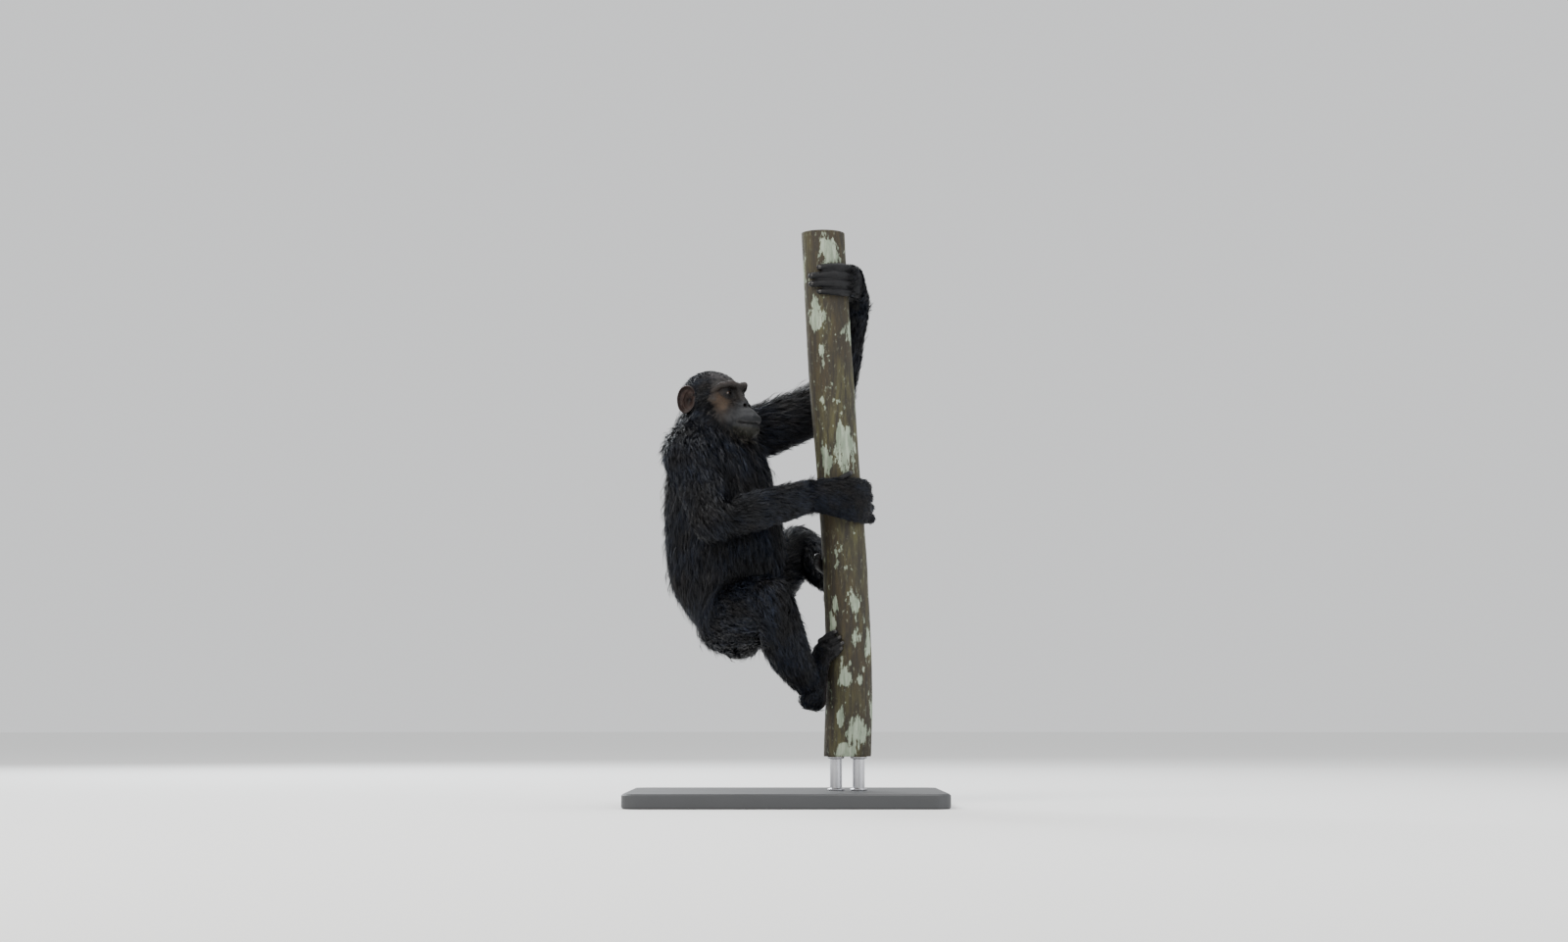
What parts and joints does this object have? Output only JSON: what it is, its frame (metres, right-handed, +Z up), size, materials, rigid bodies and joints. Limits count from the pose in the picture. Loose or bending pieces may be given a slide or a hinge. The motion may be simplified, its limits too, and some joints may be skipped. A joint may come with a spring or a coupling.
{
  "type": "chimpanzee figure",
  "caption": "Life-size still model of an adult male chimpanzee that climbs a short cut length of tree trunk, held on a flat display base by short rods.",
  "frame": {"origin": "centre of the underside of the display base", "axes": "+Z up; +X from the animal's back towards the tree trunk; -Y to the animal's right side, which the picture shows"},
  "size_m": [0.78, 0.64, 1.43],
  "materials": {
    "coat": "long coarse black hair with a dull blue-grey and brown sheen",
    "face": "bare lined skin, orange-brown round the eyes and dark grey on the muzzle",
    "ear": "thin reddish brown skin",
    "eye": "wet dark brown eye, glossy and opaque",
    "hide": "bare dark grey-black skin with paler creases",
    "bark": "dull olive-brown bark with pale grey-green lichen",
    "base": "matte dark grey paint",
    "steel": "brushed"
  },
  "bodies": {
    "root": {"trunk_perch": "bark", "stand_base": "base", "stand_rod_1": "steel", "stand_rod_2": "steel", "head": "face", "torso": "coat", "neck": "coat", "eye_right": "eye", "ear_right": "ear", "upper_arm_right": "coat", "forearm_right": "coat", "hand_right": "hide", "thigh_right": "coat", "shin_right": "coat", "foot_right": "hide", "eye_left": "eye", "ear_left": "ear", "upper_arm_left": "coat", "forearm_left": "coat", "hand_left": "hide", "thigh_left": "coat", "shin_left": "coat", "foot_left": "hide"}
  },
  "joints": []
}
